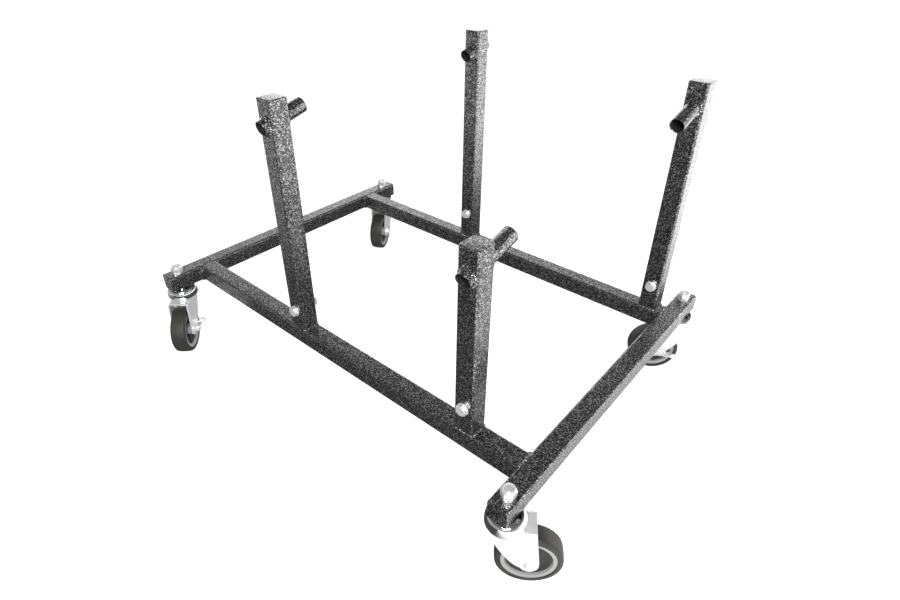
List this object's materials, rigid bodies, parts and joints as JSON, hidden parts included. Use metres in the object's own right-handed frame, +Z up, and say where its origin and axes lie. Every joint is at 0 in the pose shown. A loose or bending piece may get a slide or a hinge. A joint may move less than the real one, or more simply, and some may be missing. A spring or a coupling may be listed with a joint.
{
  "type": "engine stand",
  "caption": "Low welded frame of black square tube on swivel casters, with bolted uprights of unequal height, each carrying a tilted round sleeve near its top.",
  "frame": {"origin": "on the floor, at the middle of the area that the stand and its casters cover at rest", "axes": "+X along the two rails, from the rear crossbar to the front one; +Y along the crossbars, from the near rail to the far rail; +Z up"},
  "size_m": [0.9973, 0.7318, 0.649],
  "materials": {
    "frame_paint": "glossy black hammered powder coat",
    "chrome": "bright plated pressed steel",
    "zinc": "bright zinc plated",
    "wheel_core": "light grey moulded",
    "dust_cover": "dark grey moulded",
    "tyre": "smooth dark grey rubber"
  },
  "bodies": {
    "frame": {"crossbar_front": "frame_paint", "crossbar_rear": "frame_paint", "rail_near": "frame_paint", "rail_far": "frame_paint", "crossbar_caps": "frame_paint", "frame_welds": "frame_paint", "stub_front": "frame_paint", "stub_left": "frame_paint", "stub_right": "frame_paint", "stub_back": "frame_paint", "upright_front": "frame_paint", "upright_left": "frame_paint", "upright_right": "frame_paint", "upright_back": "frame_paint", "upright_caps": "frame_paint", "foot_welds": "frame_paint", "sleeve_front": "frame_paint", "sleeve_left": "frame_paint", "sleeve_right": "frame_paint", "sleeve_back": "frame_paint", "sleeve_welds": "frame_paint", "upright_bolts": "zinc", "upright_washers": "zinc", "upright_nuts": "zinc", "caster_stems": "zinc", "stem_nuts": "zinc", "caster_cups": "chrome"},
    "swivel_front": {"fork_front": "chrome", "axle_front": "zinc", "axle_nut_front": "zinc", "spacer_front": "zinc"},
    "wheel_front": {"hub_front": "wheel_core", "covers_front": "dust_cover", "tyre_front": "tyre"},
    "swivel_left": {"fork_left": "chrome", "axle_left": "zinc", "axle_nut_left": "zinc", "spacer_left": "zinc"},
    "wheel_left": {"hub_left": "wheel_core", "covers_left": "dust_cover", "tyre_left": "tyre"},
    "brake_left": {"brake_left": "zinc"},
    "swivel_right": {"fork_right": "chrome", "axle_right": "zinc", "axle_nut_right": "zinc", "spacer_right": "zinc"},
    "wheel_right": {"hub_right": "wheel_core", "covers_right": "dust_cover", "tyre_right": "tyre"},
    "brake_right": {"brake_right": "zinc"},
    "swivel_back": {"fork_back": "chrome", "axle_back": "zinc", "axle_nut_back": "zinc", "spacer_back": "zinc"},
    "wheel_back": {"hub_back": "wheel_core", "covers_back": "dust_cover", "tyre_back": "tyre"}
  },
  "joints": [
    {"name": "swivel_front", "type": "hinge", "parent": "frame", "child": "swivel_front", "pos_m": [0.41684, -0.29227, 0.13], "axis": [0, 0, 1], "continuous": true},
    {"name": "roll_front", "type": "hinge", "parent": "swivel_front", "child": "wheel_front", "pos_m": [0.4482, -0.2708, 0.0515], "axis": [-0.565, 0.8251, 0], "continuous": true},
    {"name": "swivel_left", "type": "hinge", "parent": "frame", "child": "swivel_left", "pos_m": [-0.46816, -0.29227, 0.13], "axis": [0, 0, 1], "continuous": true},
    {"name": "roll_left", "type": "hinge", "parent": "swivel_left", "child": "wheel_left", "pos_m": [-0.44152, -0.31937, 0.0515], "axis": [0.7133, 0.7009, 0], "continuous": true},
    {"name": "brake_left", "type": "hinge", "parent": "swivel_left", "child": "brake_left", "pos_m": [-0.44152, -0.31937, 0.0515], "axis": [-0.7133, -0.7009, 0], "range_deg": [0, 20]},
    {"name": "swivel_right", "type": "hinge", "parent": "frame", "child": "swivel_right", "pos_m": [0.41684, 0.33573, 0.13], "axis": [0, 0, 1], "continuous": true},
    {"name": "roll_right", "type": "hinge", "parent": "swivel_right", "child": "wheel_right", "pos_m": [0.3842, 0.31627, 0.0515], "axis": [0.512, -0.859, 0], "continuous": true},
    {"name": "brake_right", "type": "hinge", "parent": "swivel_right", "child": "brake_right", "pos_m": [0.3842, 0.31627, 0.0515], "axis": [-0.512, 0.859, 0], "range_deg": [0, 20]},
    {"name": "swivel_back", "type": "hinge", "parent": "frame", "child": "swivel_back", "pos_m": [-0.46816, 0.33573, 0.13], "axis": [0, 0, 1], "continuous": true},
    {"name": "roll_back", "type": "hinge", "parent": "swivel_back", "child": "wheel_back", "pos_m": [-0.45044, 0.30212, 0.0515], "axis": [0.8846, 0.4664, 0], "continuous": true}
  ]
}
